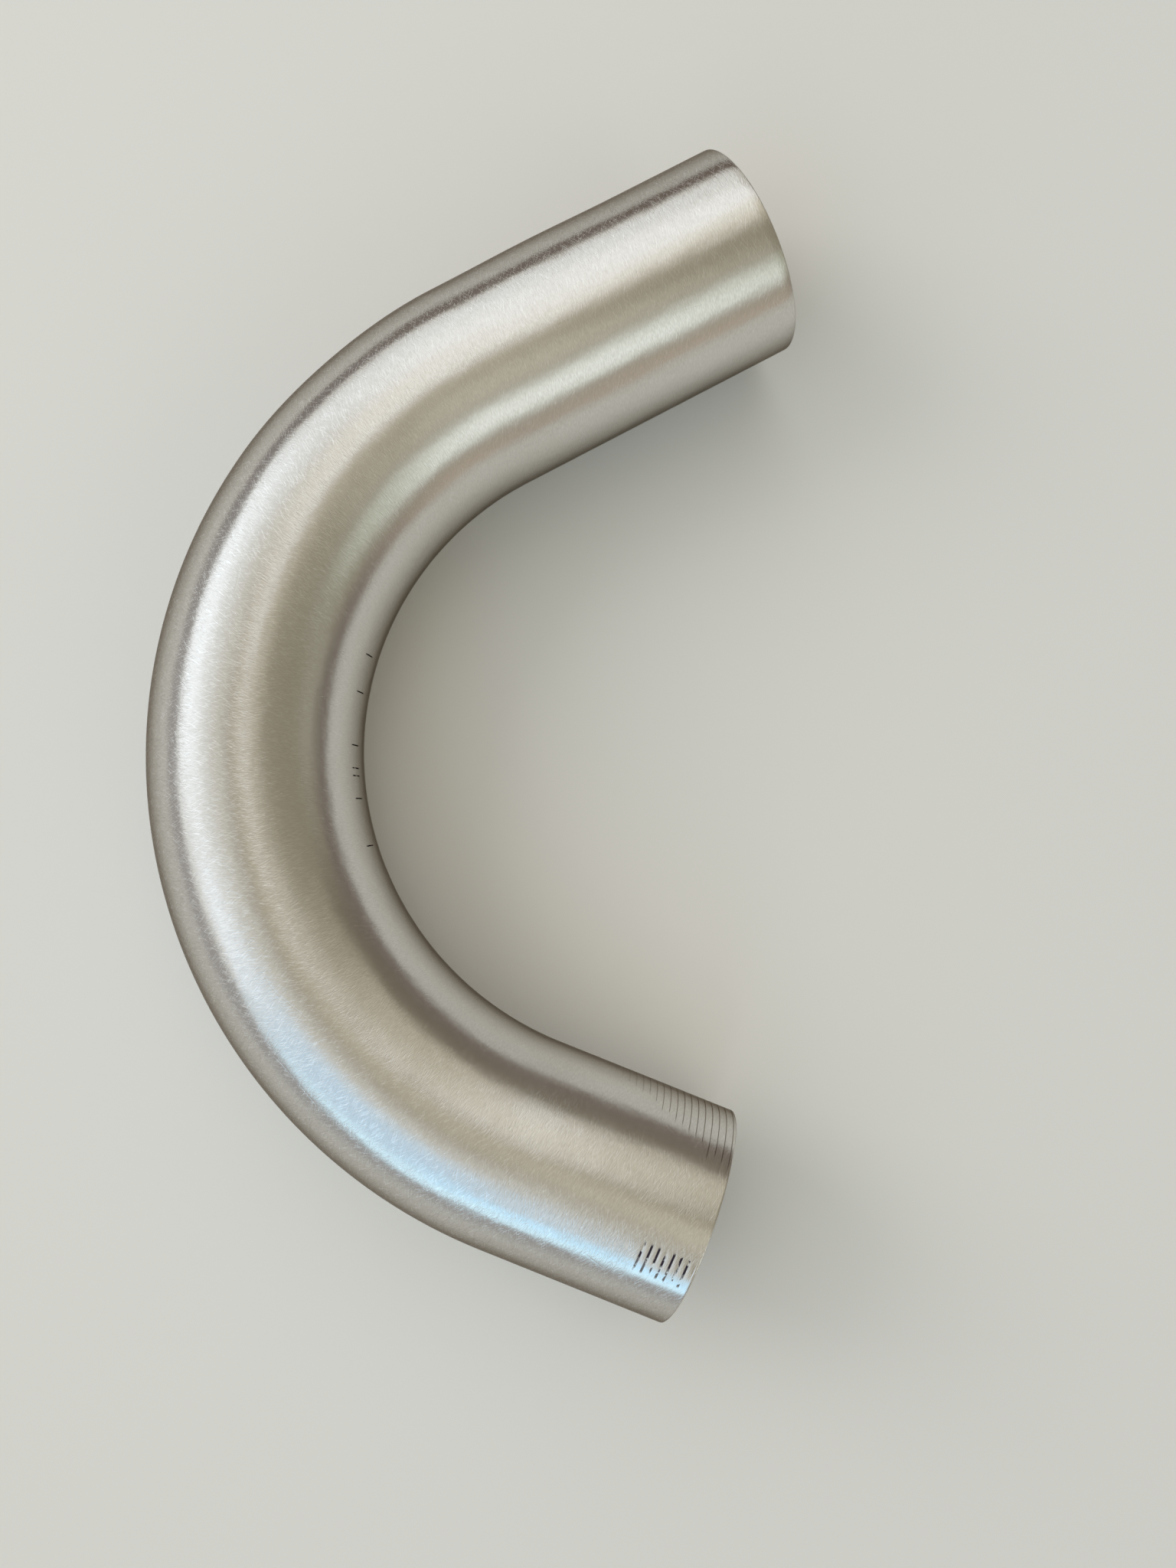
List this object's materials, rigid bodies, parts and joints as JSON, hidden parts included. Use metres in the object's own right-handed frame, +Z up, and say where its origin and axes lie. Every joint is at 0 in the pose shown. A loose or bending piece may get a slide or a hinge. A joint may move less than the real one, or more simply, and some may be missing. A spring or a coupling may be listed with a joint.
{
  "type": "pipe bend",
  "caption": "Round aluminium tube bent in a smooth wide curve, with straight legs of unequal length and square-cut open ends, for leading air or liquid round a corner.",
  "frame": {"origin": "centre of the long leg's open end face", "axes": "+X points out of the long leg's open end along its axis; the bend lies flat in the XY plane and turns towards -Y; +Z points up as it lies"},
  "size_m": [0.2517, 0.3034, 0.0635],
  "materials": {
    "brushed_aluminium": "satin, brushed round the tube"
  },
  "bodies": {
    "root": {"pipe_bend": "brushed_aluminium"}
  },
  "joints": []
}
